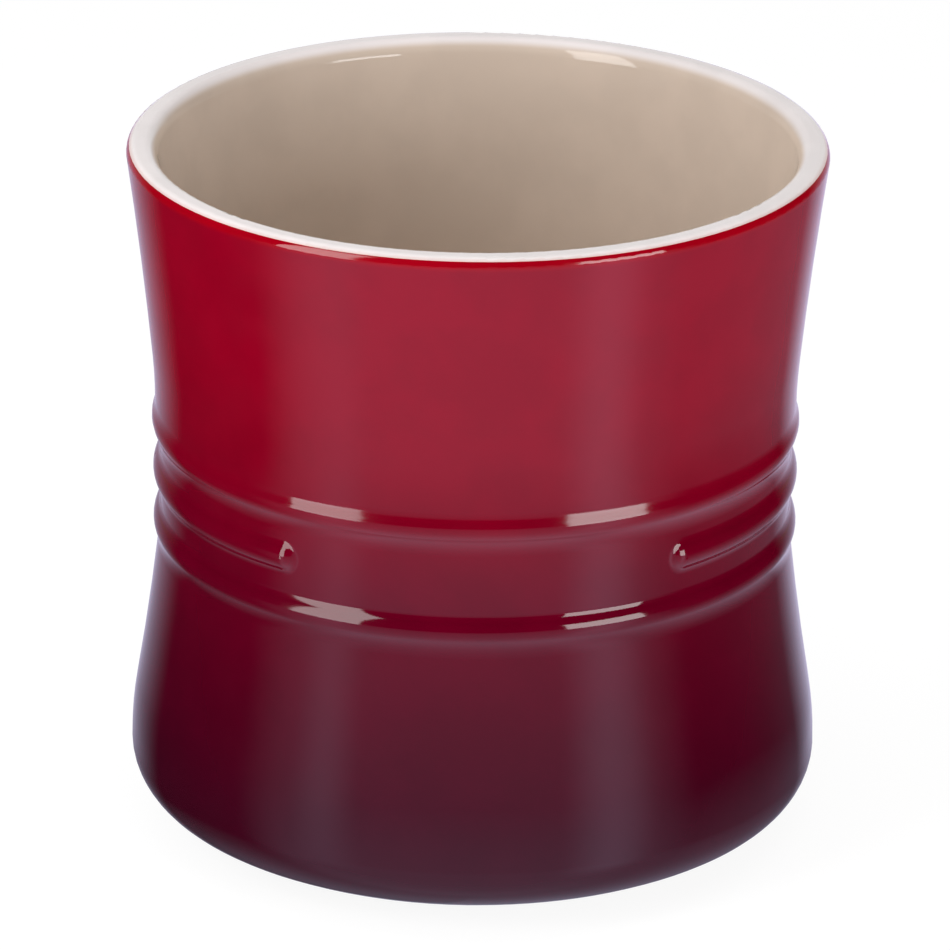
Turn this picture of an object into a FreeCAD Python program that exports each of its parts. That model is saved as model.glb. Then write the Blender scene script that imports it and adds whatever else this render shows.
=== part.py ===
"""A waisted stoneware utensil crock: clay body, outside glaze, inside glaze and underside glaze.

The pot is turned about the Z axis and stands on its foot ring at Z = 0, with its front towards -Y.
The finished outline is a chain of tangent arcs. Each coat of glaze lies on the clay with an even depth,
so the clay's outline is the same chain, set back along each point's normal.
"""
import os

import FreeCAD, Part
import Sketcher

# Driving sizes, in millimetres and degrees: name, value, what it measures.
SIZES = [
    ("height", 168.75, "foot to top of rim"),
    ("glaze", 0.5, "depth of every coat of glaze"),
    ("recess_radius", 75.1, "plain band between the beads, from which the other radii step out and in"),
    ("rim_flare", 7.35, "outer edge of the rim, beyond the plain band"),
    ("rim_edge_round", 2.5, "rounding of the rim's outer edge"),
    ("rim_line_turn", 42.0, "how far up that rounding the outside coat ends, degrees"),
    ("rim_crown_width", 4.05, "outer edge to where the inner rounding starts"),
    ("rim_inner_round", 2.6, "rounding of the rim's inner edge"),
    ("lip_turn", 45.0, "where a softer rounding takes over from it, degrees above the horizontal"),
    ("lip_arc", 5.5, "that softer rounding, down into the inner wall"),
    ("flare_bow", 0.65, "how much less the waist leans out than its chord to the rim, degrees"),
    ("waist_step", 1.05, "narrowest place above the beads, beyond the plain band"),
    ("waist_arc", 120.0, "arc that turns the waist into the flare"),
    ("waist_fillet", 8.0, "hollow above the top bead"),
    ("top_bead_height", 100.45, "crest of the top bead above the foot"),
    ("top_bead_relief", 1.85, "crest of the top bead, beyond the plain band"),
    ("bead_pitch", 12.88, "crest to crest"),
    ("bead_relief", 1.6, "crest of the middle and lower beads, beyond the plain band"),
    ("bead_arc", 4.5, "section radius of a bead"),
    ("bead_fillet", 3.2, "hollow above the lower bead and round the middle one"),
    ("underside_fillet", 9.0, "softer hollow under the top bead and under the lower one"),
    ("bead_gap_angle", 76.0, "angle at the front over which the middle bead is left out, degrees"),
    ("bead_root", 1.2, "how deep the middle bead is keyed into the wall"),
    ("under_bead_step", 0.65, "wall just below the lower bead, beyond the plain band"),
    ("sweep_bow", 0.4, "how much less the lower wall leans at its top than its chord, degrees"),
    ("belly_bow", 3.1, "how much more the belly leans where it meets the lower wall, degrees"),
    ("base_swell", 7.15, "widest place near the base, beyond the plain band"),
    ("corner_arc", 12.85, "tight part of the base's rounding"),
    ("corner_turn", 59.8, "how far the tight part turns under, degrees"),
    ("under_arc", 55.0, "flatter part of the base's rounding"),
    ("under_turn", 76.4, "how far the rounding has turned at the glaze line, degrees"),
    ("foot_line", 0.8, "glaze lines above the ground"),
    ("foot_bevel", 0.8, "bare bevel on both sides of the foot ring"),
    ("foot_width", 5.4, "ground flat of the foot ring"),
    ("base_recess", 2.4, "hollow of the underside inside the foot ring"),
    ("wall", 5.5, "plain band to the narrowest place of the inside"),
    ("inner_waist_height", 95.0, "height of that place"),
    ("inner_lower_arc", 490.0, "arc of the inner wall below its waist"),
    ("inner_corner_arc", 14.0, "rounding between inner wall and floor"),
    ("floor_height", 9.6, "top of the floor above the foot"),
]

# Values worked out from the driving sizes: name, formula.
DERIVED = [
    ("rim_radius", "recess_radius + rim_flare"),
    ("waist_radius", "recess_radius + waist_step"),
    ("top_bead_radius", "recess_radius + top_bead_relief"),
    ("bead_radius", "recess_radius + bead_relief"),
    ("under_bead_radius", "recess_radius + under_bead_step"),
    ("base_radius", "recess_radius + base_swell"),
    ("inner_waist_radius", "recess_radius - wall"),
    ("base_height", "foot_line + corner_arc * sin(corner_turn)"
                    " + under_arc * (sin(under_turn) - sin(corner_turn))"),
    ("corner_centre", "base_radius - corner_arc"),
    ("under_centre", "corner_centre + (corner_arc - under_arc) * cos(corner_turn)"),
    ("middle_bead_height", "top_bead_height - bead_pitch"),
    ("lower_bead_height", "top_bead_height - 2 * bead_pitch"),
    ("bead_reach", "bead_arc + bead_fillet"),
    ("underside_reach", "bead_arc + underside_fillet"),
    ("waist_reach", "bead_arc + waist_fillet"),
    ("bead_centre", "bead_radius - bead_arc"),
    ("bead_turn", "acos(1 - (bead_radius - recess_radius) / bead_reach)"),
    ("top_bead_turn", "acos(1 - (top_bead_radius - recess_radius) / underside_reach)"),
    ("top_bead_rise", "acos(1 - (top_bead_radius - waist_radius) / waist_reach)"),
    ("upright_turn", "acos(1 - (bead_radius - under_bead_radius) / underside_reach)"),
    ("lower_wall_rise", "lower_bead_height - underside_reach * sin(upright_turn) - base_height"),
    ("wall_lean", "atan((base_radius - under_bead_radius) / lower_wall_rise) - sweep_bow * 1deg"),
    ("under_bead_turn", "acos((bead_arc + underside_fillet * cos(wall_lean)"
                        " - (bead_radius - under_bead_radius)) / underside_reach)"),
    ("waist_height", "top_bead_height + waist_reach * sin(top_bead_rise)"),
    ("flare_turn", "atan((rim_radius - waist_radius) / (height - rim_edge_round - waist_height))"
                   " - flare_bow * 1deg"),
    ("crown_inner", "rim_radius - rim_crown_width"),
    ("lip_centre", "crown_inner + (lip_arc - rim_inner_round) * cos(lip_turn)"),
    ("lip_level", "height - rim_inner_round - (lip_arc - rim_inner_round) * sin(lip_turn)"),
    ("inner_upper_rise", "lip_level - inner_waist_height"),
    ("inner_upper_arc", "((inner_waist_radius - lip_centre)^2 + inner_upper_rise^2 - lip_arc^2)"
                        " / (2 * (lip_centre - inner_waist_radius - lip_arc))"),
    ("inner_mouth_turn", "asin(inner_upper_rise / (inner_upper_arc - lip_arc))"),
    ("inner_corner_drop", "inner_waist_height - floor_height - inner_corner_arc"),
    ("inner_corner_turn", "asin(inner_corner_drop / (inner_lower_arc + inner_corner_arc))"),
    ("inner_corner_centre", "inner_waist_radius + inner_lower_arc"
                            " - (inner_lower_arc + inner_corner_arc) * cos(inner_corner_turn)"),
]

# Points of the finished outline from the foot's glaze line up to the glaze line on the rim:
# name, radius, height, angle of the outward normal above the horizontal.
STATIONS = [
    ("glaze_line", "under_centre + under_arc * cos(under_turn)", "foot_line", "-under_turn * 1deg"),
    ("corner", "corner_centre + corner_arc * cos(corner_turn)",
     "base_height - corner_arc * sin(corner_turn)", "-corner_turn * 1deg"),
    ("base", "base_radius", "base_height", "0deg"),
    ("wall_top", "under_bead_radius",
     "lower_bead_height - underside_reach * sin(under_bead_turn) - underside_fillet * sin(wall_lean)",
     "wall_lean"),
    ("lower_bead_under", "bead_centre + bead_arc * cos(under_bead_turn)",
     "lower_bead_height - bead_arc * sin(under_bead_turn)", "-under_bead_turn"),
    ("lower_bead_over", "bead_centre + bead_arc * cos(bead_turn)",
     "lower_bead_height + bead_arc * sin(bead_turn)", "bead_turn"),
    ("recess_low", "recess_radius", "lower_bead_height + bead_reach * sin(bead_turn)", "0deg"),
    ("recess_high", "recess_radius", "top_bead_height - underside_reach * sin(top_bead_turn)", "0deg"),
    ("top_bead_under", "top_bead_radius - bead_arc * (1 - cos(top_bead_turn))",
     "top_bead_height - bead_arc * sin(top_bead_turn)", "-top_bead_turn"),
    ("top_bead_over", "top_bead_radius - bead_arc * (1 - cos(top_bead_rise))",
     "top_bead_height + bead_arc * sin(top_bead_rise)", "top_bead_rise"),
    ("waist", "waist_radius", "waist_height", "0deg"),
    ("flare", "waist_radius + waist_arc * (1 - cos(flare_turn))",
     "waist_height + waist_arc * sin(flare_turn)", "-flare_turn"),
    ("rim_edge", "rim_radius", "height - rim_edge_round", "0deg"),
    ("rim_line", "rim_radius - rim_edge_round * (1 - cos(rim_line_turn))",
     "height - rim_edge_round * (1 - sin(rim_line_turn))", "rim_line_turn * 1deg"),
]

# The three arcs whose radius follows from the points at their ends, the point between the belly
# and the lower wall, and the foot.
CLOSING = [
    ("sweep_dr", "base_radius - wall_top_r"),
    ("sweep_dz", "wall_top_z - base_height"),
    ("belly_lean", "wall_lean + belly_bow * 1deg"),
    ("sweep_sines", "sin(belly_lean) - sin(wall_lean)"),
    ("sweep_cosines", "cos(wall_lean) - cos(belly_lean)"),
    ("sweep_spread", "sin(belly_lean) * sweep_cosines - (1 - cos(belly_lean)) * sweep_sines"),
    ("belly_arc", "(sweep_dz * sweep_cosines - sweep_dr * sweep_sines) / sweep_spread"),
    ("sweep_arc", "(sweep_dr * sin(belly_lean) - sweep_dz * (1 - cos(belly_lean))) / sweep_spread"),
    ("belly_r", "base_radius - belly_arc * (1 - cos(belly_lean))"),
    ("belly_z", "base_height + belly_arc * sin(belly_lean)"),
    ("flare_dr", "rim_edge_r - flare_r"),
    ("flare_dz", "rim_edge_z - flare_z"),
    ("flare_arc", "(flare_dr^2 + flare_dz^2)"
                  " / (2 * (flare_dr * cos(flare_turn) - flare_dz * sin(flare_turn)))"),
    ("foot_outer", "glaze_line_r - glaze * cos(under_turn) - foot_bevel"),
    ("foot_inner", "foot_outer - foot_width"),
    ("cove", "base_recess - foot_line"),
    ("cove_centre", "foot_inner - foot_bevel - glaze - cove"),
]

# The finished outline's edges, in order: point it leads to, shape, radius.
# A left turn is a convex arc seen from outside, a right turn a hollow one.
OUTER_EDGES = [
    ("corner", "left", "under_arc"),
    ("base", "left", "corner_arc"),
    ("belly", "left", "belly_arc"),
    ("wall_top", "right", "sweep_arc"),
    ("lower_bead_under", "right", "underside_fillet"),
    ("lower_bead_over", "left", "bead_arc"),
    ("recess_low", "right", "bead_fillet"),
    ("recess_high", "line", None),
    ("top_bead_under", "right", "underside_fillet"),
    ("top_bead_over", "left", "bead_arc"),
    ("waist", "right", "waist_fillet"),
    ("flare", "right", "waist_arc"),
    ("rim_edge", "right", "flare_arc"),
    ("rim_line", "left", "rim_edge_round"),
]

OPPOSITE = {"left": "right", "right": "left", "line": "line"}
FRONT = 270.0
NEAR = 0.01


def make_sheet(doc):
    """Puts every size into one sheet, each in a cell with an alias of its own."""
    sheet = doc.addObject("Spreadsheet::Sheet", "dims")
    rows = [(name, str(value), note) for name, value, note in SIZES]
    rows += [(name, "=" + formula, "") for name, formula in DERIVED]
    for name, radius, level, lean in STATIONS:
        for ending, formula in (("_r", radius), ("_z", level), ("_lean", lean)):
            rows.append((name + ending, "=" + formula, ""))
    rows += [(name, "=" + formula, "") for name, formula in CLOSING]
    for row, (name, content, note) in enumerate(rows, start=1):
        sheet.set("A%d" % row, name)
        sheet.set("B%d" % row, content)
        sheet.setAlias("B%d" % row, name)
        sheet.set("C%d" % row, note)
    doc.recompute()
    return sheet


def set_back(name, depth):
    """Radius and height of an outline point, set back by a depth along its normal."""
    radius = "dims.{0}_r - ({1}) * cos(dims.{0}_lean)".format(name, depth)
    level = "dims.{0}_z - ({1}) * sin(dims.{0}_lean)".format(name, depth)
    return radius, level


def outer_path(depth):
    """The outer outline at a depth below the finished surface, from the foot up."""
    path = [("start", *set_back("glaze_line", depth), None)]
    for name, shape, arc in OUTER_EDGES:
        sign = "-" if shape == "left" else "+"
        radius = None if arc is None else "dims.{0} {1} ({2})".format(arc, sign, depth)
        path.append((shape, *set_back(name, depth), radius))
    return path


def inner_path(depth):
    """The outline over the rim and down the inside to the axis, at a depth below the finished surface."""
    mouth = "dims.rim_inner_round - ({0})".format(depth)
    lip = "dims.lip_arc - ({0})".format(depth)
    edge = "dims.rim_edge_round - ({0})".format(depth)
    corner = "dims.inner_corner_arc + ({0})".format(depth)
    top = "dims.height - ({0})".format(depth)
    mouth_level = "dims.height - dims.rim_inner_round"
    corner_level = "dims.floor_height + dims.inner_corner_arc"
    floor = "dims.floor_height - ({0})".format(depth)
    return [
        ("start", *set_back("rim_line", depth), None),
        ("left", "dims.rim_radius - dims.rim_edge_round", top, edge),
        ("line", "dims.crown_inner", top, None),
        ("left", "dims.crown_inner - ({0}) * cos(dims.lip_turn)".format(mouth),
         "{0} + ({1}) * sin(dims.lip_turn)".format(mouth_level, mouth), mouth),
        ("left", "dims.lip_centre - ({0}) * cos(dims.inner_mouth_turn)".format(lip),
         "dims.lip_level + ({0}) * sin(dims.inner_mouth_turn)".format(lip), lip),
        ("left", "dims.inner_waist_radius + ({0})".format(depth), "dims.inner_waist_height",
         "dims.inner_upper_arc - ({0})".format(depth)),
        ("left", "dims.inner_corner_centre + ({0}) * cos(dims.inner_corner_turn)".format(corner),
         "{0} + ({1}) * sin(dims.inner_corner_turn)".format(corner_level, corner),
         "dims.inner_lower_arc - ({0})".format(depth)),
        ("right", "dims.inner_corner_centre", floor, corner),
        ("line", "0", floor, None),
    ]


def recess_path(depth):
    """The underside inside the foot ring, from the axis out to its glaze line."""
    ceiling = "dims.base_recess + ({0})".format(depth)
    cove = "dims.cove + ({0})".format(depth)
    return [
        ("start", "0", ceiling, None),
        ("line", "dims.cove_centre", ceiling, None),
        ("right", "dims.cove_centre + {0}".format(cove), "dims.foot_line", cove),
    ]


def backwards(path):
    """The same run of edges, walked from its last point to its first."""
    turned = [("line", path[-1][1], path[-1][2], None)]
    for here, before in zip(path[:0:-1], path[-2::-1]):
        turned.append((OPPOSITE[here[0]], before[1], before[2], here[3]))
    return turned


def arc_between(start, end, radius, shape):
    """Arc shorter than a half turn from start to end, and whether it runs from start to end."""
    chord = end - start
    rise = (radius ** 2 - (chord.Length / 2) ** 2) ** 0.5
    aside = FreeCAD.Vector(-chord.y, chord.x, 0).normalize()
    sign = 1 if shape == "left" else -1
    centre = (start + end) / 2 + aside * (sign * rise)
    circle = Part.Circle(centre, FreeCAD.Vector(0, 0, 1), radius)
    first, last = (start, end) if shape == "left" else (end, start)
    return Part.ArcOfCircle(circle, circle.parameter(first), circle.parameter(last)), shape == "left"


def pin_point(sketch, edge, place, axis, expression, value):
    """Ties one coordinate of an edge's end to the sheet."""
    if expression == "0":
        sketch.addConstraint(Sketcher.Constraint("PointOnObject", edge, place, -2 if axis == "X" else -1))
        return
    row = sketch.addConstraint(Sketcher.Constraint("Distance" + axis, -1, 1, edge, place, value))
    sketch.setExpression("Constraints[%d]" % row, expression)


def draw_outline(sketch, path):
    """Draws a closed outline whose points and radii are tied to the sheet."""
    corners = []
    for _, radius, level, _ in path:
        corners.append(FreeCAD.Vector(sketch.evalExpression(radius), sketch.evalExpression(level), 0))
    steps = path[1:] + [("line", path[0][1], path[0][2], None)]
    ends = []
    for index, (shape, _, _, arc) in enumerate(steps):
        start, end = corners[index], corners[(index + 1) % len(corners)]
        if shape == "line":
            edge = sketch.addGeometry(Part.LineSegment(start, end))
            ends.append((edge, 1, 2))
        else:
            geometry, forward = arc_between(start, end, float(sketch.evalExpression(arc)), shape)
            edge = sketch.addGeometry(geometry)
            ends.append((edge, 1, 2) if forward else (edge, 2, 1))
    for index, (edge, first, last) in enumerate(ends):
        following, following_first, _ = ends[(index + 1) % len(ends)]
        sketch.addConstraint(Sketcher.Constraint("Coincident", edge, last, following, following_first))
        pin_point(sketch, edge, first, "X", path[index][1], corners[index].x)
        pin_point(sketch, edge, first, "Y", path[index][2], corners[index].y)
        arc = steps[index][3]
        if arc is not None:
            value = float(sketch.evalExpression(arc))
            row = sketch.addConstraint(Sketcher.Constraint("Radius", edge, value))
            sketch.setExpression("Constraints[%d]" % row, arc)


def origin_plane(body, role):
    """One of a body's own origin planes."""
    return next(item for item in body.Origin.OriginFeatures if item.Role == role)


def new_sketch(body, name):
    """A sketch in the upright plane: radius across, height up."""
    sketch = body.newObject("Sketcher::SketchObject", name)
    sketch.AttachmentSupport = [(origin_plane(body, "XZ_Plane"), "")]
    sketch.MapMode = "FlatFace"
    return sketch


def revolve(body, name, sketch, axis, angle):
    """Turns a sketch about one of its own axes."""
    turned = body.newObject("PartDesign::Revolution", name)
    turned.Profile = sketch
    turned.ReferenceAxis = (sketch, [axis])
    if isinstance(angle, str):
        turned.setExpression("Angle", angle)
    else:
        turned.Angle = angle
    return turned


def turned_body(doc, label, path):
    """A body made by turning one closed outline all the way round."""
    body = doc.addObject("PartDesign::Body", label)
    sketch = new_sketch(body, label + "_outline")
    draw_outline(sketch, path)
    revolve(body, label + "_turned", sketch, "V_Axis", 360.0)
    return body


def add_middle_bead(body, depth):
    """Adds the middle bead, open at the front, with a ball end at each side of the gap."""
    arc = "dims.bead_arc - ({0})".format(depth)
    crest = "dims.bead_radius - ({0})".format(depth)
    root = "dims.recess_radius - ({0}) - dims.bead_root".format(depth)
    half = "sqrt(({0})^2 - ({1} - dims.bead_centre)^2)".format(arc, root)
    section = [
        ("start", root, "-({0})".format(half), None),
        ("left", crest, "0", arc),
        ("left", root, half, arc),
    ]
    half_section = [
        ("start", root, "0", None),
        ("line", crest, "0", None),
        ("left", root, half, arc),
    ]
    for name, outline in (("bead_section", section), ("bead_half_section", half_section)):
        sketch = new_sketch(body, body.Label + "_" + name)
        sketch.AttachmentOffset = FreeCAD.Placement(
            FreeCAD.Vector(0, 1, 0), FreeCAD.Rotation(FreeCAD.Vector(0, 1, 0), FRONT))
        sketch.setExpression("AttachmentOffset.Base.y", "dims.middle_bead_height")
        sketch.setExpression("AttachmentOffset.Rotation.Angle", "%g + dims.bead_gap_angle / 2" % FRONT)
        draw_outline(sketch, outline)
        if outline is section:
            revolve(body, body.Label + "_bead", sketch, "V_Axis", "360 - dims.bead_gap_angle")
        else:
            ball = revolve(body, body.Label + "_ball", sketch, "H_Axis", 180.0)
    twin = body.newObject("PartDesign::Mirrored", body.Label + "_ball_twin")
    twin.Originals = [ball]
    twin.MirrorPlane = (origin_plane(body, "YZ_Plane"), [""])
    body.Tip = twin


def bead_foot_edges(shape, sheet):
    """Names of the edges where the middle bead meets the plain band."""
    names = []
    for index, edge in enumerate(shape.Edges, start=1):
        middle = edge.valueAt((edge.FirstParameter + edge.LastParameter) / 2)
        on_band = abs(FreeCAD.Vector(middle.x, middle.y, 0).Length - sheet.recess_radius) < NEAR
        inside = sheet.recess_low_z + NEAR < middle.z < sheet.recess_high_z - NEAR
        if on_band and inside and edge.Curve.TypeId != "Part::GeomLine":
            names.append("Edge%d" % index)
    return names


def pool_glaze_round_bead(body, sheet):
    """Fills the crease round the middle bead with a hollow, all the way round both ball ends."""
    beaded = body.Tip
    edges = bead_foot_edges(beaded.Shape, sheet)
    hollow = body.newObject("PartDesign::Fillet", body.Label + "_bead_hollow")
    hollow.Base = (beaded, edges)
    hollow.setExpression("Radius", "dims.bead_fillet")


def stoneware_body(doc):
    """The clay: wall, floor, beads and the bare foot ring."""
    coat = "dims.glaze"
    foot = [
        ("line", "dims.foot_inner", "0", None),
        ("line", "dims.foot_outer", "0", None),
    ]
    path = outer_path(coat) + inner_path(coat)[1:] + [("line",) + recess_path(coat)[0][1:]]
    path += recess_path(coat)[1:] + foot
    body = turned_body(doc, "stoneware_body", path)
    add_middle_bead(body, coat)
    return body


def outer_glaze(doc, clay):
    """The outside coat: the finished outside, keyed into the clay, less the clay."""
    key = "dims.glaze + dims.bead_root"
    end = [("line", *set_back("rim_line", "dims.glaze"), None)]
    path = outer_path("0") + end + backwards(outer_path(key)[:-1])
    form = turned_body(doc, "outer_glaze_form", path)
    add_middle_bead(form, "0")
    doc.recompute()
    pool_glaze_round_bead(form, doc.dims)
    coat = doc.addObject("Part::Cut", "outer_glaze")
    coat.Base = form
    coat.Tool = clay
    return coat


def inner_glaze(doc):
    """The inside coat, from the glaze line on the rim to the middle of the floor."""
    return turned_body(doc, "inner_glaze", inner_path("0") + backwards(inner_path("dims.glaze")))


def base_glaze(doc):
    """The coat in the underside's recess."""
    return turned_body(doc, "base_glaze", recess_path("0") + backwards(recess_path("dims.glaze")))


def check_document(doc, nodes):
    """Stops the build if any object failed or any piece isn't one valid solid."""
    for item in doc.Objects:
        if "Invalid" in item.State or "Error" in item.State:
            raise RuntimeError("%s failed: %s" % (item.Label, item.State))
    for node in nodes:
        shape = node.Shape
        if shape.isNull() or not shape.isValid() or len(shape.Solids) != 1:
            raise RuntimeError("%s is not one valid solid" % node.Label)
        print(node.Label, "volume %.1f mm3" % shape.Volume, "faces", len(shape.Faces))


def main():
    doc = FreeCAD.newDocument("utensil_crock")
    make_sheet(doc)
    clay = stoneware_body(doc)
    nodes = [clay, outer_glaze(doc, clay), inner_glaze(doc), base_glaze(doc)]
    doc.recompute()
    check_document(doc, nodes)
    os.makedirs("parts", exist_ok=True)
    for node in nodes:
        node.Shape.exportStep(os.path.join("parts", node.Label + ".step"))


main()
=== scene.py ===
"""The looks of a waisted stoneware utensil crock: a red glaze that darkens downwards and a cream inside."""
import math

import bpy
from mathutils import Matrix, Vector


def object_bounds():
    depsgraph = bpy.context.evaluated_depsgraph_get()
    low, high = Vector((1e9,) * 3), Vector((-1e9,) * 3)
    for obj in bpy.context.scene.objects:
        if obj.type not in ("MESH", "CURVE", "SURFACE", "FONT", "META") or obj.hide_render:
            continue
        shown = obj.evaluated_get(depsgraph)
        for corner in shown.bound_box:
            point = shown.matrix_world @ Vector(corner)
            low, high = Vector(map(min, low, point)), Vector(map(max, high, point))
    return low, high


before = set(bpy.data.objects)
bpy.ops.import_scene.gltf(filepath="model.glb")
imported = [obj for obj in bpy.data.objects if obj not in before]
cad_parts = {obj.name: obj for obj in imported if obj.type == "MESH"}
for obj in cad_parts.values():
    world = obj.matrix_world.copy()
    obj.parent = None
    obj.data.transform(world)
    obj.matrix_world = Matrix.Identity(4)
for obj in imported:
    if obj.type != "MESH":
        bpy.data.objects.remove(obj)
cad_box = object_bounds()

# The pot's height and its rim's radius, in metres.
POT_HEIGHT = cad_box[1].z
RIM_RADIUS = cad_box[1].x

# The view, in metres and degrees, and its lens in millimetres.
CAMERA_DISTANCE = 1.691
CAMERA_ELEVATION = 21.72
CAMERA_AZIMUTH = -2.0
CAMERA_ROLL = 0.57
AIM_HEIGHT = 0.0841
FOCAL_LENGTH = 268.5
SENSOR_WIDTH = 36.0

# The beads, the rim and the coat's depth, in millimetres and degrees, as they shape the glaze's normals.
MILLIMETRE = 0.001
GLAZE_DEPTH = 0.5
BAND_RADIUS = 75.1
BEAD_LEVEL = 87.57
BEAD_HALF_GAP = 38.0
BEAD_RELIEF = 1.6
BEAD_ARC = 4.5
BEAD_HOLLOW = 3.2
UNDER_HOLLOW = 9.0
RIM_ARC = 2.5
RIM_LINE = 42.0

# The glaze's outlines in the same units. A start has a radius, a height and the lean of the normal above
# level. Each run is an arc up to a lean, with a radius below zero where it is hollow, or a straight length,
# or a jump to another lean at a sharp edge. They repeat the outlines of the solids, so a change of shape
# there belongs here too.
OUTSIDE_START = (61.131, 0.8, -76.4)
OUTSIDE_RUNS = [
    {"arc": 55.0, "lean": -59.8},  # the base's underside
    {"arc": 12.85, "lean": 0.0},  # its rounding
    {"arc": 86.765, "lean": 9.84},  # the belly
    {"arc": -669.63, "lean": 6.74},  # the sweep above it
    {"arc": -UNDER_HOLLOW, "lean": -22.328},  # below the lowest bead
    {"arc": BEAD_ARC, "lean": 37.608},
    {"arc": -BEAD_HOLLOW, "lean": 0.0},
    {"length": 14.24},  # the band that carries the middle bead
    {"arc": -UNDER_HOLLOW, "lean": -30.349},  # below the top bead
    {"arc": BEAD_ARC, "lean": 20.61},
    {"arc": -8.0, "lean": 0.0},
    {"arc": -120.0, "lean": -5.208},  # the waist
    {"arc": -1080.8, "lean": -7.904},  # the flare
    {"jump": 0.0},  # the fine line below the rim
    {"arc": RIM_ARC, "lean": RIM_LINE},
]
INSIDE_START = (81.808, 167.923, RIM_LINE)
INSIDE_RUNS = [
    {"arc": RIM_ARC, "lean": 90.0},
    {"length": 1.55},  # the rim's flat
    {"arc": 2.6, "lean": 135.0},  # the lip inside, in two roundings
    {"arc": 5.5, "lean": 171.144},
    {"arc": 454.36, "lean": 180.0},  # the wall down to the waist
    {"arc": 490.0, "lean": 188.144},  # and below it
    {"arc": -14.0, "lean": 90.0},  # the rounding at the floor
    {"length": 60.68},  # the floor
]

# How finely the hidden forms follow these outlines, in steps, millimetres and degrees.
STRAIGHT_STEPS = 48
LEAST_STEPS = 4
LONGEST_STEP = 4.0
WIDEST_TURN = 2
BEAD_END_REACH = 6.0
BEAD_END_TURN = 0.25

# Colours in screen values, and in metres where one fades into another below the rim or inside its radius.
# The outside's colours stand at shares of the pot's height.
RED_STOPS = [
    (0.00, (55, 5, 24)),
    (0.12, (57, 4, 24)),
    (0.22, (67, 1, 23)),
    (0.36, (83, 0, 24)),
    (0.50, (97, 0, 26)),
    (0.62, (120, 0, 25)),
    (0.76, (136, 0, 28)),
    (1.00, (137, 0, 28)),
]
LIP_RED = (154, 0, 20)
LIP_FADE = (0.0034, 0.0020)
CREAM = (222, 204, 188)
# The paler cream over the rim is painted light: the same glaze, lighter where the rim's top faces the lamps
# and mirrors the pale backdrop.
LIT_RIM_CREAM = (246, 238, 237)
LIT_RIM_FADE = (0.0022, 0.0005)
PINK_EDGE = (226, 200, 196)
PINK_FADE = (0.0016, 0.0006)
DARK_WINE = (52, 5, 22)
LIGHT_WINE = (66, 7, 27)
DARK_CLAY = (196, 180, 156)
LIGHT_CLAY = (220, 206, 184)
CLAY_GRAIN = (150, 122, 94)
WHITE = (1.0, 1.0, 1.0, 1.0)
BLACK = (0.0, 0.0, 0.0, 1.0)

# The unevenness of the surfaces: noises with their cells in a metre, the range of a noise that shows, and
# what it does to a colour, the gloss or the relief.
BROAD_WAVES = {"scale": 42.0, "detail": 1.0}
FINE_WAVES = {"scale": 380.0, "detail": 2.0}
FINE_SHARE = 0.06
WAVE_DEPTH = 0.001
RED_WAVE = 0.05
CREAM_WAVE = 0.04
WINE_WAVE = 0.06
GLOSS_PATCHES = {"scale": 75.0, "detail": 3.0}
PATCH_RANGE = (0.3, 0.7)
GLAZE_ROUGHNESS = (0.05, 0.11)
GLAZE_IOR = 1.5
RED_DRIFT = {"scale": 18.0, "detail": 2.0}
DRIFT_MIDDLE = 0.5
DRIFT_SHARE = 0.05
RED_CLOUDS = {"scale": 55.0, "detail": 3.0}
RED_SHADES = (0.95, 1.04)
CREAM_CLOUDS = {"scale": 60.0, "detail": 3.0}
CREAM_SHADES = (0.97, 1.02)
CLOUD_RANGE = (0.35, 0.65)
WINE_CLOUDS = {"scale": 70.0, "detail": 3.0}
CLAY_TONES = {"scale": 160.0, "detail": 4.0}
CLAY_GRAINS = {"scale": 2400.0, "detail": 1.0}
GRAIN_RANGE = (0.66, 0.74)
CLAY_PORES = {"scale": 1800.0, "detail": 3.0}
PORE_STRENGTH = 0.35
PORE_DEPTH = 0.0002
CLAY_ROUGHNESS = 0.85

# The studio, in metres and degrees: where each lamp stands round the pot, its size and its light.
LEFT_LAMP = {
    "azimuth": -51.2, "distance": 0.57, "width": 0.251, "low": 0.04, "high": 0.72, "radiance": 5.0,
}
RIGHT_LAMP = {
    "azimuth": 41.6, "distance": 0.57, "width": 0.274, "low": 0.04, "high": 0.29, "radiance": 6.7,
}
TOP_LAMP_PLACE = (-0.4, 0.1, 1.0)
TOP_LAMP_SIZE = (2.6, 0.5)
TOP_LAMP_RADIANCE = 1.08
AMBIENT = 0.4

# What the glaze mirrors of the studio, by how steeply the look goes down (0 level, 1 straight down): in
# front, to both sides, and in the streaks below the two lamps. An edge has the bearings between which the
# front gives way to the side, and a streak its bearing and half its width, in degrees.
FRONT_LEVELS = [
    (0.0, 0.14), (0.09, 0.29), (0.26, 0.36), (0.5, 0.46), (0.67, 0.58), (0.83, 0.79), (1.0, 0.94),
]
LEFT_LEVELS = [(0.0, 0.0), (0.50, 0.01), (0.67, 0.17), (0.83, 0.46), (1.0, 0.73)]
RIGHT_LEVELS = [(0.0, 0.0), (0.20, 0.01), (0.42, 0.17), (0.67, 0.46), (0.83, 0.67), (1.0, 0.80)]
LEFT_STREAK_LEVELS = [(0.0, 0.25), (0.10, 0.34), (0.42, 0.18), (0.57, 0.08), (0.67, 0.0)]
RIGHT_STREAK_LEVELS = [(0.0, 0.35), (0.10, 0.47), (0.50, 0.40), (0.67, 0.19), (0.80, 0.0)]
LEFT_EDGE = (-60.0, -88.0)
RIGHT_EDGE = (52.0, 80.0)
LEFT_STREAK = (-52.0, 14.0)
RIGHT_STREAK = (45.0, 19.0)
STUDIO_TINT = (1.05, 1.0, 1.36, 1.0)
HORIZON_BLEND = 0.04

# The pale backdrop in reflections: how far a look goes back as it fades in, and how strong it is from the
# left to the right.
BACKDROP_FADE = (0.6, 1.0)
BACKDROP_SIDES = (-0.5, 0.5)
BACKDROP_STRENGTHS = (0.5, 0.85)

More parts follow.
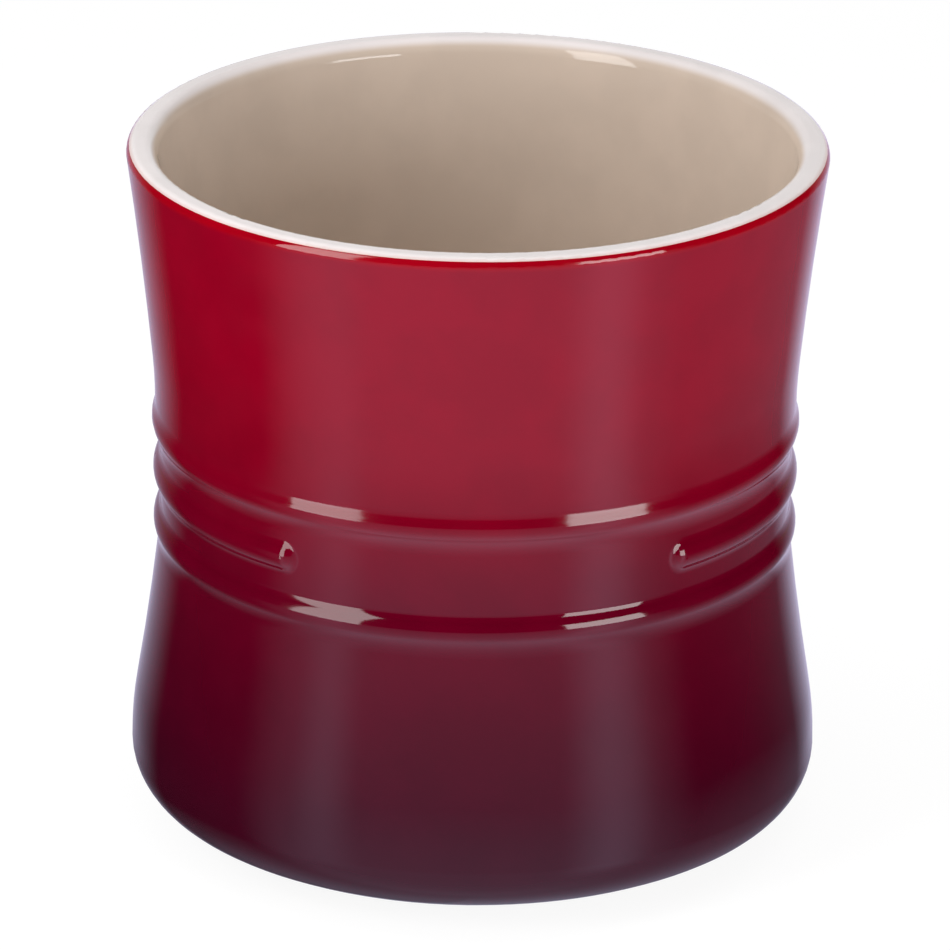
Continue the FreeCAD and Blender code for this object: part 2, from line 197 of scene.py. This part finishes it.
# The floor, in metres, with its light and the shade that the glaze mirrors close to the pot.
FLOOR_RADIUS = 3.0
FLOOR_CORNERS = 96
FLOOR_LEVEL = -0.0002
FLOOR_LIFT = 0.9
FLOOR_SHADE = (0.16, 0.16, 0.16, 1.0)
FLOOR_MATT = (0.85, 0.85, 0.85, 1.0)
CONTACT_SHADE = 0.46
CONTACT_FADE = (0.084, 0.112)


def srgb(red, green, blue):
    """A colour given in screen values, as the linear colour that a shader takes."""
    linear = []
    for value in (red / 255, green / 255, blue / 255):
        linear.append(value / 12.92 if value <= 0.04045 else ((value + 0.055) / 1.055) ** 2.4)
    return (*linear, 1.0)


class Shader:
    """Short ways to add and join the nodes of one material or world."""

    def __init__(self, tree):
        self.tree = tree
        tree.nodes.clear()

    def add(self, kind, inputs=None, **settings):
        """A new node with its settings, and its inputs joined to sockets or set to values."""
        node = self.tree.nodes.new(kind)
        for name, value in settings.items():
            setattr(node, name, value)
        for key, value in (inputs or {}).items():
            if isinstance(value, bpy.types.NodeSocket):
                self.tree.links.new(value, node.inputs[key])
            else:
                node.inputs[key].default_value = value
        return node

    def place(self):
        """The place on the object, in metres."""
        return self.add("ShaderNodeTexCoord").outputs["Object"]

    def math(self, operation, first, second=0.0):
        """The result of an operation on one or two numbers."""
        return self.add("ShaderNodeMath", {0: first, 1: second}, operation=operation).outputs[0]

    def step(self, value, low, high, to_low=0.0, to_high=1.0):
        """A smooth change from to_low to to_high as value goes from low to high."""
        ends = {"Value": value, "From Min": low, "From Max": high, "To Min": to_low, "To Max": to_high}
        return self.add("ShaderNodeMapRange", ends, interpolation_type="SMOOTHSTEP").outputs["Result"]

    def noise(self, place, scale, detail):
        """A cloudy number between 0 and 1."""
        node = self.add("ShaderNodeTexNoise", {"Vector": place, "Scale": scale, "Detail": detail})
        return node.outputs["Fac"]

    def ramp(self, value, stops, interpolation="B_SPLINE"):
        """A colour that runs through the stops: position and colour."""
        node = self.add("ShaderNodeValToRGB", {"Fac": value})
        node.color_ramp.interpolation = interpolation
        elements = node.color_ramp.elements
        elements[0].position, elements[0].color = stops[0]
        elements[1].position, elements[1].color = stops[-1]
        for position, color in stops[1:-1]:
            elements.new(position).color = color
        return node.outputs["Color"]

    def levels(self, value, stops):
        """A number that runs straight from stop to stop: position and number."""
        grays = [(position, (level, level, level, 1.0)) for position, level in stops]
        return self.ramp(value, grays, "LINEAR")

    def mix(self, factor, first, second, blend="MIX"):
        """A blend of two colours. The node's colour sockets are its seventh and eighth."""
        colors = {0: factor, 6: first, 7: second}
        return self.add("ShaderNodeMix", colors, data_type="RGBA", blend_type=blend).outputs[2]

    def show(self, surface):
        """Makes a surface the one that the material shows."""
        self.add("ShaderNodeOutputMaterial", {"Surface": surface.outputs[0]})


def new_material(name):
    """A material with its own node tree."""
    material = bpy.data.materials.new(name)
    material.use_nodes = True
    return material, Shader(material.node_tree)


def dress(node, material):
    """Gives a solid of the part its material."""
    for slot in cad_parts[node].material_slots:
        slot.material = material


def link(name, data):
    """A new object in the scene."""
    thing = bpy.data.objects.new(name, data)
    bpy.context.scene.collection.objects.link(thing)
    return thing


def outline(start, runs):
    """Lines of points along a chain of runs, each with its radius, height and lean."""
    radius, level, lean = start
    lines = [[start]]
    for run in runs:
        slope = math.radians(lean)
        if "jump" in run:
            lines.append([(radius, level, run["jump"])])
        elif "length" in run:
            for index in range(1, STRAIGHT_STEPS + 1):
                along = run["length"] * index / STRAIGHT_STEPS
                lines[-1].append((radius - along * math.sin(slope), level + along * math.cos(slope), lean))
        else:
            turn = math.radians(run["lean"]) - slope
            by_turn = math.ceil(abs(math.degrees(turn)) / WIDEST_TURN)
            by_length = math.ceil(abs(turn * run["arc"]) / LONGEST_STEP)
            count = max(LEAST_STEPS, by_turn, by_length)
            for index in range(1, count + 1):
                angle = slope + turn * index / count
                lines[-1].append((radius + run["arc"] * (math.cos(angle) - math.cos(slope)),
                                  level + run["arc"] * (math.sin(angle) - math.sin(slope)),
                                  math.degrees(angle)))
        radius, level, lean = lines[-1][-1]
    return lines


def bead(azimuth, level):
    """The middle bead at a place on the band: its height, and its slopes round the pot and upwards."""
    side = BAND_RADIUS * math.sin(math.radians(max(0.0, BEAD_HALF_GAP - abs(azimuth))))
    rise = level - BEAD_LEVEL
    away = math.hypot(side, rise)
    edge = math.acos((BEAD_ARC - BEAD_RELIEF + BEAD_HOLLOW) / (BEAD_ARC + BEAD_HOLLOW))
    reach = (BEAD_ARC + BEAD_HOLLOW) * math.sin(edge)
    if away >= reach:
        return 0.0, 0.0, 0.0
    if away == 0:
        return BEAD_RELIEF, 0.0, 0.0
    if away <= BEAD_ARC * math.sin(edge):
        drop = math.sqrt(BEAD_ARC ** 2 - away ** 2)
        height, slope = BEAD_RELIEF - BEAD_ARC + drop, -away / drop
    else:
        to_foot = reach - away
        drop = math.sqrt(BEAD_HOLLOW ** 2 - to_foot ** 2)
        height, slope = BEAD_HOLLOW - drop, -to_foot / drop
    return height, -slope * side / away * (1 if azimuth > 0 else -1), slope * rise / away


def coat_point(azimuth, radius, level, lean, beaded):
    """The place and the normal of one point on a coat, in millimetres."""
    height, round_slope, up_slope = bead(azimuth, level) if beaded else (0.0, 0.0, 0.0)
    around = math.radians(azimuth)
    up = math.radians(lean)
    out = Vector((math.sin(around), -math.cos(around), 0))
    across = Vector((math.cos(around), math.sin(around), 0))
    tilt = Vector((0, 0, math.sin(up) - up_slope))
    normal = (out * math.cos(up) - across * round_slope + tilt).normalized()
    return out * (radius + height) + Vector((0, 0, level)), normal


def exact_form(name, start, runs, beaded):
    """A hidden form with both faces of a coat, which carries the normals of the exact outline."""
    end_count = round(2 * BEAD_END_REACH / BEAD_END_TURN) + 1
    ends = [BEAD_HALF_GAP - BEAD_END_REACH + BEAD_END_TURN * index for index in range(end_count)]
    columns = sorted({*range(-180, 180, WIDEST_TURN), *ends, *(-angle for angle in ends)})
    points, normals, faces = [], [], []
    for side, depth in ((1, 0.0), (-1, GLAZE_DEPTH)):
        for line in outline(start, runs):
            for row, (radius, level, lean) in enumerate(line):
                for column, azimuth in enumerate(columns):
                    place, normal = coat_point(azimuth, radius, level, lean, beaded)
                    points.append((place - normal * depth) * MILLIMETRE)
                    normals.append(normal * side)
                    if row:
                        last = len(points) - 1
                        beside = last - column + (column + 1) % len(columns)
                        faces.append((last, beside, beside - len(columns), last - len(columns)))
    mesh = bpy.data.meshes.new(name)
    mesh.from_pydata(points, [], faces)
    mesh.polygons.foreach_set("use_smooth", [True] * len(faces))
    mesh.normals_split_custom_set_from_vertices(normals)
    form = link(name, mesh)
    form.hide_render = True
    return form


def true_normals(node, start, runs, beaded):
    """Shades a coat by the normals of its exact outline. Its own mesh stays as it is."""
    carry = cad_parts[node].modifiers.new("true_normals", "DATA_TRANSFER")
    carry.object = exact_form(node + "_outline", start, runs, beaded)
    carry.use_loop_data = True
    carry.data_types_loops = {"CUSTOM_NORMAL"}
    carry.loop_mapping = "POLYINTERP_NEAREST"


def clouded(shader, place, color, clouds, shades):
    """A colour with soft clouds in it, a little darker and lighter."""
    cloud = shader.step(shader.noise(place, **clouds), *CLOUD_RANGE, *shades)
    tint = shader.add("ShaderNodeCombineColor", {0: cloud, 1: cloud, 2: cloud}).outputs[0]
    return shader.mix(1.0, color, tint, "MULTIPLY")


def glaze_surface(shader, place, color, wave):
    """A glass coat: a clear gloss that is a little uneven, over the colour."""
    fine = shader.math("MULTIPLY", shader.noise(place, **FINE_WAVES), FINE_SHARE)
    relief = shader.math("ADD", shader.noise(place, **BROAD_WAVES), fine)
    bump = shader.add("ShaderNodeBump", {"Strength": wave, "Distance": WAVE_DEPTH, "Height": relief})
    gloss = shader.step(shader.noise(place, **GLOSS_PATCHES), *PATCH_RANGE, *GLAZE_ROUGHNESS)
    shader.show(shader.add("ShaderNodeBsdfPrincipled", {
        "Base Color": color,
        "Roughness": gloss,
        "IOR": GLAZE_IOR,
        "Normal": bump.outputs["Normal"],
    }))


def outer_glaze_material():
    """Red that is brightest on the lip's thin edge and deepens to a dark wine at the foot."""
    material, shader = new_material("red_glaze")
    place = shader.place()
    height = shader.add("ShaderNodeSeparateXYZ", {0: place}).outputs["Z"]
    share = shader.math("DIVIDE", height, POT_HEIGHT)
    uneven = shader.math("SUBTRACT", shader.noise(place, **RED_DRIFT), DRIFT_MIDDLE)
    drift = shader.math("MULTIPLY", uneven, DRIFT_SHARE)
    stops = [(position, srgb(*color)) for position, color in RED_STOPS]
    red = shader.ramp(shader.math("ADD", share, drift), stops)
    lip = shader.step(height, *(POT_HEIGHT - below for below in LIP_FADE))
    red = shader.mix(lip, red, srgb(*LIP_RED))
    glaze_surface(shader, place, clouded(shader, place, red, RED_CLOUDS, RED_SHADES), RED_WAVE)
    return material


def inner_glaze_material():
    """Warm cream, painted paler over the rim as painted light and reflection on its top, and pink at the
    edge, where the red below shows through.
    """
    material, shader = new_material("cream_glaze")
    place = shader.place()
    height = shader.add("ShaderNodeSeparateXYZ", {0: place}).outputs["Z"]
    # Painted light and reflection: the rim's top gets a paler copy of the cream, as if lit from above and
    # mirroring the pale backdrop.
    lit_rim = shader.step(height, *(POT_HEIGHT - below for below in LIT_RIM_FADE))
    cream = shader.mix(lit_rim, srgb(*CREAM), srgb(*LIT_RIM_CREAM))
    level = shader.add("ShaderNodeVectorMath", {0: place, 1: (1, 1, 0)}, operation="MULTIPLY")
    radius = shader.add("ShaderNodeVectorMath", {0: level.outputs[0]}, operation="LENGTH").outputs["Value"]
    edge = shader.step(radius, *(RIM_RADIUS - inside for inside in PINK_FADE))
    cream = shader.mix(edge, cream, srgb(*PINK_EDGE))
    glaze_surface(shader, place, clouded(shader, place, cream, CREAM_CLOUDS, CREAM_SHADES), CREAM_WAVE)
    return material


def base_glaze_material():
    """The outside's darkest wine colour, in the underside's recess."""
    material, shader = new_material("wine_glaze")
    place = shader.place()
    cloud = shader.step(shader.noise(place, **WINE_CLOUDS), *PATCH_RANGE)
    glaze_surface(shader, place, shader.mix(cloud, srgb(*DARK_WINE), srgb(*LIGHT_WINE)), WINE_WAVE)
    return material


def stoneware_material():
    """Bare fired clay: pale buff, matt, with fine darker grains."""
    material, shader = new_material("bare_stoneware")
    place = shader.place()
    tone = shader.mix(shader.noise(place, **CLAY_TONES), srgb(*DARK_CLAY), srgb(*LIGHT_CLAY))
    grains = shader.step(shader.noise(place, **CLAY_GRAINS), *GRAIN_RANGE)
    pores = shader.noise(place, **CLAY_PORES)
    relief = {"Strength": PORE_STRENGTH, "Distance": PORE_DEPTH, "Height": pores}
    bump = shader.add("ShaderNodeBump", relief)
    shader.show(shader.add("ShaderNodeBsdfPrincipled", {
        "Base Color": shader.mix(grains, tone, srgb(*CLAY_GRAIN)),
        "Roughness": CLAY_ROUGHNESS,
        "Normal": bump.outputs["Normal"],
    }))
    return material


def soft_box(name, width, depth, radiance):
    """A rectangular lamp that is equally bright all over."""
    light = bpy.data.lights.new(name, "AREA")
    light.shape = "RECTANGLE"
    light.size = width
    light.size_y = depth
    light.energy = radiance * width * depth * math.pi
    return link(name, light)


def side_lamp(name, azimuth, distance, width, low, high, radiance):
    """An upright soft box beside the pot, from its low to its high edge, facing the pot's axis."""
    box = soft_box(name, width, high - low, radiance)
    around = math.radians(azimuth)
    box.location = (distance * math.sin(around), -distance * math.cos(around), (low + high) / 2)
    box.rotation_euler = (math.radians(90), 0, around)


def top_lamp():
    """A broad soft box above that lights the rim and the inside, and shows in no reflection."""
    box = soft_box("top_lamp", *TOP_LAMP_SIZE, TOP_LAMP_RADIANCE)
    box.location = TOP_LAMP_PLACE
    box.visible_glossy = False


def mirrored_studio(shader):
    """The studio in a reflection, by direction: its strength and colour, from floor to pale backdrop."""
    way = shader.add("ShaderNodeSeparateXYZ", {0: shader.add("ShaderNodeTexCoord").outputs["Generated"]})
    down = shader.math("MULTIPLY", way.outputs["Z"], -1.0)
    bearing = shader.math("ARCTAN2", way.outputs["X"], shader.math("MULTIPLY", way.outputs["Y"], -1.0))
    bearing = shader.math("DEGREES", bearing)
    total = shader.levels(down, FRONT_LEVELS)
    streaks = ((LEFT_STREAK, LEFT_STREAK_LEVELS), (RIGHT_STREAK, RIGHT_STREAK_LEVELS))
    for (centre, half_width), stops in streaks:
        aside = shader.math("ABSOLUTE", shader.math("SUBTRACT", bearing, centre))
        across = shader.step(aside, 0.0, half_width, 1.0, 0.0)
        total = shader.math("ADD", total, shader.math("MULTIPLY", shader.levels(down, stops), across))
    for edge, stops in ((LEFT_EDGE, LEFT_LEVELS), (RIGHT_EDGE, RIGHT_LEVELS)):
        total = shader.mix(shader.step(bearing, *edge), total, shader.levels(down, stops))
    below = shader.step(down, -HORIZON_BLEND, HORIZON_BLEND)
    side = shader.step(way.outputs["X"], *BACKDROP_SIDES, *BACKDROP_STRENGTHS)
    behind = shader.math("MULTIPLY", shader.step(way.outputs["Y"], *BACKDROP_FADE), side)
    strength = shader.math("MAXIMUM", shader.math("MULTIPLY", total, below), behind)
    return strength, shader.mix(below, WHITE, STUDIO_TINT)


def make_world():
    """White to the eye, an even soft fill for the colours, and the studio in the reflections."""
    world = bpy.data.worlds.new("studio")
    bpy.context.scene.world = world
    world.use_nodes = True
    shader = Shader(world.node_tree)
    path = shader.add("ShaderNodeLightPath")
    seen = shader.math("MAXIMUM", path.outputs["Is Camera Ray"], path.outputs["Is Transmission Ray"])
    studio, tint = mirrored_studio(shader)
    mirrored = shader.math("MULTIPLY", path.outputs["Is Glossy Ray"], studio)
    fill = shader.math("MULTIPLY", path.outputs["Is Diffuse Ray"], AMBIENT)
    strength = shader.math("MAXIMUM", shader.math("MAXIMUM", seen, mirrored), fill)
    color = shader.mix(path.outputs["Is Glossy Ray"], WHITE, tint)
    light = shader.add("ShaderNodeBackground", {"Color": color, "Strength": strength})
    shader.add("ShaderNodeOutputWorld", {"Surface": light.outputs[0]})


def floor_material():
    """White to the eye with the pot's shadow; in reflections only the shade close to the pot."""
    material, shader = new_material("floor")
    path = shader.add("ShaderNodeLightPath")
    away = shader.add("ShaderNodeVectorMath", {0: shader.place()}, operation="LENGTH").outputs["Value"]
    clear = shader.add("ShaderNodeBsdfTransparent")
    black = shader.add("ShaderNodeBsdfDiffuse", {"Color": BLACK})
    contact = shader.step(away, *CONTACT_FADE, CONTACT_SHADE, 0.0)
    mirrored = shader.add("ShaderNodeMixShader", {0: contact, 1: clear.outputs[0], 2: black.outputs[0]})
    lift = shader.add("ShaderNodeEmission", {"Strength": FLOOR_LIFT})
    shade = shader.add("ShaderNodeBsdfDiffuse", {"Color": FLOOR_SHADE})
    seen = shader.add("ShaderNodeAddShader", {0: shade.outputs[0], 1: lift.outputs[0]})
    surface = shader.add("ShaderNodeBsdfDiffuse", {"Color": FLOOR_MATT})
    for ray, shown in (("Is Camera Ray", seen), ("Is Glossy Ray", mirrored)):
        layers = {0: path.outputs[ray], 1: surface.outputs[0], 2: shown.outputs[0]}
        surface = shader.add("ShaderNodeMixShader", layers)
    shader.show(surface)
    return material


def make_floor():
    """A round floor under the pot."""
    corners = []
    for index in range(FLOOR_CORNERS):
        angle = 2 * math.pi * index / FLOOR_CORNERS
        corners.append((FLOOR_RADIUS * math.cos(angle), FLOOR_RADIUS * math.sin(angle), FLOOR_LEVEL))
    mesh = bpy.data.meshes.new("floor")
    mesh.from_pydata(corners, [], [range(FLOOR_CORNERS)])
    mesh.materials.append(floor_material())
    link("floor", mesh)


def make_camera():
    """The photograph's view: a long lens from the front and above, turned a little about its sight line."""
    data = bpy.data.cameras.new("camera")
    data.lens = FOCAL_LENGTH
    data.sensor_width = SENSOR_WIDTH
    camera = link("camera", data)
    elevation = math.radians(CAMERA_ELEVATION)
    azimuth = math.radians(CAMERA_AZIMUTH)
    aim = Vector((0, 0, AIM_HEIGHT))
    back = Vector((math.cos(elevation) * math.sin(azimuth), -math.cos(elevation) * math.cos(azimuth),
                   math.sin(elevation)))
    turn = back.to_track_quat("Z", "Y").to_matrix().to_4x4()
    roll = Matrix.Rotation(math.radians(CAMERA_ROLL), 4, "Z")
    camera.matrix_world = Matrix.Translation(aim + back * CAMERA_DISTANCE) @ turn @ roll
    bpy.context.scene.camera = camera


true_normals("outer_glaze", OUTSIDE_START, OUTSIDE_RUNS, True)
true_normals("inner_glaze", INSIDE_START, INSIDE_RUNS, False)

dress("outer_glaze", outer_glaze_material())
dress("inner_glaze", inner_glaze_material())
dress("base_glaze", base_glaze_material())
dress("stoneware_body", stoneware_material())

side_lamp("left_lamp", **LEFT_LAMP)
side_lamp("right_lamp", **RIGHT_LAMP)
top_lamp()
make_world()
make_floor()
make_camera()
bpy.context.scene.view_settings.view_transform = "Standard"
